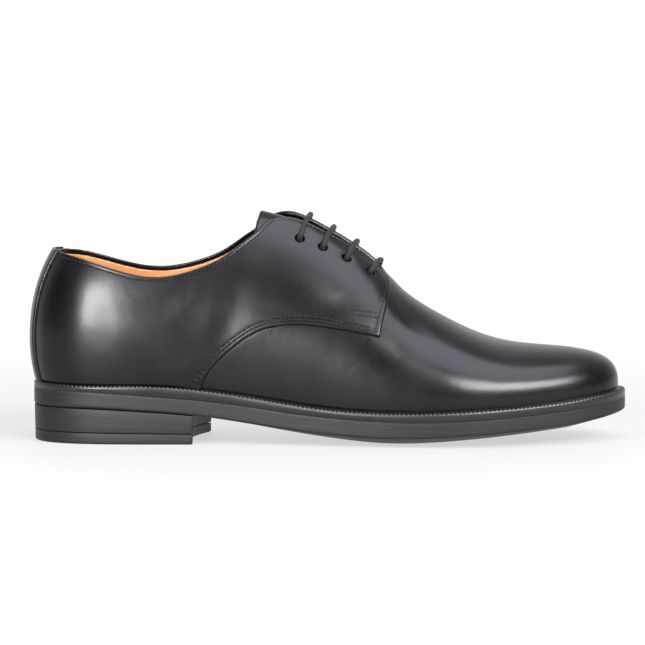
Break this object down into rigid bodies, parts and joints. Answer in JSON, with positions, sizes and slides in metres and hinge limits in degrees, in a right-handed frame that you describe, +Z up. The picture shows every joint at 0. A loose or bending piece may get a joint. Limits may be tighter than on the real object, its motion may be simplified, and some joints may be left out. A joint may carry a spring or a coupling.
{
  "type": "derby shoe",
  "caption": "Plain-toe derby shoe for the right foot: smooth leather upper with open lacing, leather lining, welted sole and stacked heel.",
  "frame": {"origin": "on the floor, under the middle of the whole shoe's box", "axes": "+X towards the toe, -Y towards the lateral side of this right shoe, +Z up"},
  "size_m": [0.3062, 0.1022, 0.1174],
  "materials": {
    "calf_leather": "smooth polished calf, semi-gloss, fine grain",
    "lining_leather": "tan lining leather, matte",
    "welt_leather": "black edge dressing, satin, with wheel marks",
    "sole_rubber": "matte black, finely brushed edge",
    "lace_cotton": "round waxed cotton, braided"
  },
  "bodies": {
    "root": {"outsole": "sole_rubber", "welt": "welt_leather", "heel_block": "sole_rubber", "top_lift": "sole_rubber", "insole": "lining_leather", "upper": "calf_leather", "back_strip": "calf_leather", "tongue": "calf_leather", "lace": "lace_cotton"}
  },
  "joints": []
}
